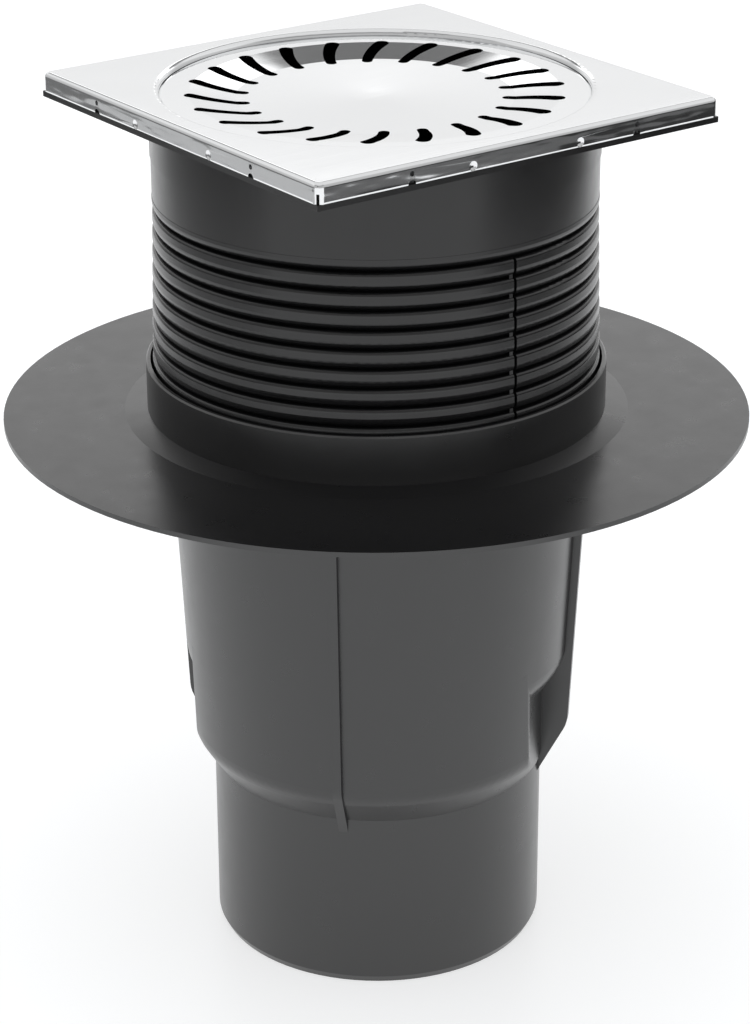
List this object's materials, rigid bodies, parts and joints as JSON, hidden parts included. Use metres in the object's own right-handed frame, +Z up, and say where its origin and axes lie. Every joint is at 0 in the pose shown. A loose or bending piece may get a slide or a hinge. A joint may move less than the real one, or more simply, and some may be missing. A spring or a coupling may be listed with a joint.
{
  "type": "gully trap",
  "caption": "Floor drain with a round outlet, sealing flange, ribbed riser, square steel cover and a slotted drop-in grate over a lift-out water trap.",
  "frame": {"origin": "centre of the outlet's lower end", "axes": "+Z up along the drain's axis; X and Y along the sides of the square cover"},
  "size_m": [0.2394, 0.2394, 0.2901],
  "materials": {
    "black_plastic": "moulded polypropylene, semi-gloss black",
    "trap_plastic": "moulded polypropylene, dark grey",
    "seal_rubber": "moulded rubber, matt black",
    "stainless_sheet": "bright stainless sheet"
  },
  "bodies": {
    "gully": {"drain_body": "black_plastic", "trap_pot": "trap_plastic", "trap_ring": "seal_rubber", "trap_bell": "trap_plastic"},
    "seal": {"riser_ring": "seal_rubber"},
    "riser": {"riser_tube": "black_plastic", "cover_frame": "stainless_sheet", "grate": "stainless_sheet"}
  },
  "joints": [
    {"name": "riser_slide", "type": "slide", "parent": "gully", "child": "seal", "axis": [0, 0, 1], "range_m": [0, 0.008]},
    {"name": "riser_turn", "type": "hinge", "parent": "seal", "child": "riser", "pos_m": [0, 0, 0.19], "axis": [0, 0, 1], "continuous": true}
  ]
}
